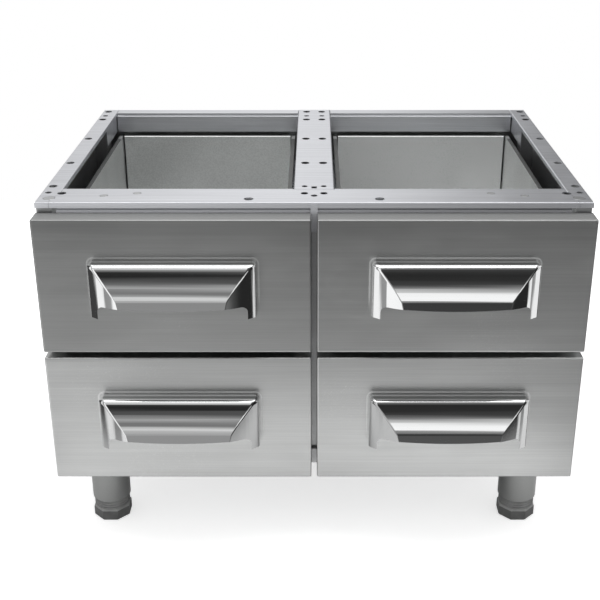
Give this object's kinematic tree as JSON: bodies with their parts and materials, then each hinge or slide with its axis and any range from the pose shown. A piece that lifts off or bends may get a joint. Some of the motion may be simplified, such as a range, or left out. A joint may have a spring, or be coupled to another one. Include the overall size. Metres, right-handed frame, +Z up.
{
  "type": "outdoor kitchen drawer unit",
  "caption": "Stainless steel base unit with sliding drawers in two columns, hooded pulls, an open top frame for a worktop or hob, and screw feet.",
  "frame": {"origin": "on the floor, under the middle of the whole unit with its handles", "axes": "+X to the right along the fronts, +Y to the back, +Z up; the drawers open towards -Y"},
  "size_m": [0.8, 0.6404, 0.553],
  "materials": {
    "frame_steel": "fine brushed",
    "panel_steel": "fine brushed",
    "front_steel": "fine brushed, horizontal grain",
    "tray_steel": "satin",
    "runner_steel": "bright zinc plated",
    "leg_steel": "satin tube",
    "screw_steel": "satin",
    "handle_chrome": "mirror polished",
    "foot_plastic": "matt moulded"
  },
  "bodies": {
    "cabinet": {"top_front_rail": "frame_steel", "top_back_rail": "frame_steel", "top_left_rail": "frame_steel", "top_right_rail": "frame_steel", "top_centre_rail": "frame_steel", "centre_tab": "frame_steel", "frame_plugs": "frame_steel", "side_panel_left": "panel_steel", "side_panel_right": "panel_steel", "back_panel": "panel_steel", "bottom_panel": "panel_steel", "centre_divider": "panel_steel", "runner_posts_left": "panel_steel", "runner_posts_right": "panel_steel", "panel_screws": "screw_steel", "leg_bolts": "screw_steel", "cabinet_runners_upper_left": "runner_steel", "cabinet_runners_upper_right": "runner_steel", "cabinet_runners_lower_left": "runner_steel", "cabinet_runners_lower_right": "runner_steel", "leg_front_left": "leg_steel", "leg_front_right": "leg_steel", "leg_rear_left": "leg_steel", "leg_rear_right": "leg_steel"},
    "drawer_upper_left": {"drawer_front_upper_left": "front_steel", "front_liner_upper_left": "front_steel", "handle_upper_left": "handle_chrome", "handle_screws_upper_left": "screw_steel", "drawer_tray_upper_left": "tray_steel", "drawer_runners_upper_left": "runner_steel"},
    "slider_upper_left": {"middle_runners_upper_left": "runner_steel"},
    "drawer_upper_right": {"drawer_front_upper_right": "front_steel", "front_liner_upper_right": "front_steel", "handle_upper_right": "handle_chrome", "handle_screws_upper_right": "screw_steel", "drawer_tray_upper_right": "tray_steel", "drawer_runners_upper_right": "runner_steel"},
    "slider_upper_right": {"middle_runners_upper_right": "runner_steel"},
    "drawer_lower_left": {"drawer_front_lower_left": "front_steel", "front_liner_lower_left": "front_steel", "handle_lower_left": "handle_chrome", "handle_screws_lower_left": "screw_steel", "drawer_tray_lower_left": "tray_steel", "drawer_runners_lower_left": "runner_steel"},
    "slider_lower_left": {"middle_runners_lower_left": "runner_steel"},
    "drawer_lower_right": {"drawer_front_lower_right": "front_steel", "front_liner_lower_right": "front_steel", "handle_lower_right": "handle_chrome", "handle_screws_lower_right": "screw_steel", "drawer_tray_lower_right": "tray_steel", "drawer_runners_lower_right": "runner_steel"},
    "slider_lower_right": {"middle_runners_lower_right": "runner_steel"},
    "stem_front_left": {"foot_stem_front_left": "foot_plastic"},
    "cap_front_left": {"foot_cap_front_left": "foot_plastic"},
    "stem_front_right": {"foot_stem_front_right": "foot_plastic"},
    "cap_front_right": {"foot_cap_front_right": "foot_plastic"},
    "stem_rear_left": {"foot_stem_rear_left": "foot_plastic"},
    "cap_rear_left": {"foot_cap_rear_left": "foot_plastic"},
    "stem_rear_right": {"foot_stem_rear_right": "foot_plastic"},
    "cap_rear_right": {"foot_cap_rear_right": "foot_plastic"}
  },
  "joints": [
    {"name": "drawer_upper_left_slide", "type": "slide", "parent": "cabinet", "child": "drawer_upper_left", "axis": [0, -1, 0], "range_m": [0, 0.5]},
    {"name": "runner_upper_left_slide", "type": "slide", "parent": "cabinet", "child": "slider_upper_left", "axis": [0, -1, 0], "range_m": [0, 0.25]},
    {"name": "drawer_upper_right_slide", "type": "slide", "parent": "cabinet", "child": "drawer_upper_right", "axis": [0, -1, 0], "range_m": [0, 0.5]},
    {"name": "runner_upper_right_slide", "type": "slide", "parent": "cabinet", "child": "slider_upper_right", "axis": [0, -1, 0], "range_m": [0, 0.25]},
    {"name": "drawer_lower_left_slide", "type": "slide", "parent": "cabinet", "child": "drawer_lower_left", "axis": [0, -1, 0], "range_m": [0, 0.5]},
    {"name": "runner_lower_left_slide", "type": "slide", "parent": "cabinet", "child": "slider_lower_left", "axis": [0, -1, 0], "range_m": [0, 0.25]},
    {"name": "drawer_lower_right_slide", "type": "slide", "parent": "cabinet", "child": "drawer_lower_right", "axis": [0, -1, 0], "range_m": [0, 0.5]},
    {"name": "runner_lower_right_slide", "type": "slide", "parent": "cabinet", "child": "slider_lower_right", "axis": [0, -1, 0], "range_m": [0, 0.25]},
    {"name": "foot_front_left_height", "type": "slide", "parent": "cabinet", "child": "stem_front_left", "axis": [0, 0, -1], "range_m": [-0.015, 0.035]},
    {"name": "foot_front_left_turn", "type": "hinge", "parent": "stem_front_left", "child": "cap_front_left", "pos_m": [-0.3341, -0.2008, 0.011], "axis": [0, 0, -1], "range_deg": [-1352, 3152]},
    {"name": "foot_front_right_height", "type": "slide", "parent": "cabinet", "child": "stem_front_right", "axis": [0, 0, -1], "range_m": [-0.015, 0.035]},
    {"name": "foot_front_right_turn", "type": "hinge", "parent": "stem_front_right", "child": "cap_front_right", "pos_m": [0.3341, -0.2008, 0.011], "axis": [0, 0, -1], "range_deg": [-1352, 3152]},
    {"name": "foot_rear_left_height", "type": "slide", "parent": "cabinet", "child": "stem_rear_left", "axis": [0, 0, -1], "range_m": [-0.015, 0.035]},
    {"name": "foot_rear_left_turn", "type": "hinge", "parent": "stem_rear_left", "child": "cap_rear_left", "pos_m": [-0.3341, 0.2602, 0.011], "axis": [0, 0, -1], "range_deg": [-1352, 3152]},
    {"name": "foot_rear_right_height", "type": "slide", "parent": "cabinet", "child": "stem_rear_right", "axis": [0, 0, -1], "range_m": [-0.015, 0.035]},
    {"name": "foot_rear_right_turn", "type": "hinge", "parent": "stem_rear_right", "child": "cap_rear_right", "pos_m": [0.3341, 0.2602, 0.011], "axis": [0, 0, -1], "range_deg": [-1352, 3152]}
  ],
  "couplings": [
    {"joint": "runner_upper_left_slide", "follows": "drawer_upper_left_slide", "ratio": 0.5},
    {"joint": "runner_upper_right_slide", "follows": "drawer_upper_right_slide", "ratio": 0.5},
    {"joint": "runner_lower_left_slide", "follows": "drawer_lower_left_slide", "ratio": 0.5},
    {"joint": "runner_lower_right_slide", "follows": "drawer_lower_right_slide", "ratio": 0.5},
    {"joint": "foot_front_left_turn", "follows": "foot_front_left_height", "rad_per_m": 1570.8},
    {"joint": "foot_front_right_turn", "follows": "foot_front_right_height", "rad_per_m": 1570.8},
    {"joint": "foot_rear_left_turn", "follows": "foot_rear_left_height", "rad_per_m": 1570.8},
    {"joint": "foot_rear_right_turn", "follows": "foot_rear_right_height", "rad_per_m": 1570.8}
  ]
}
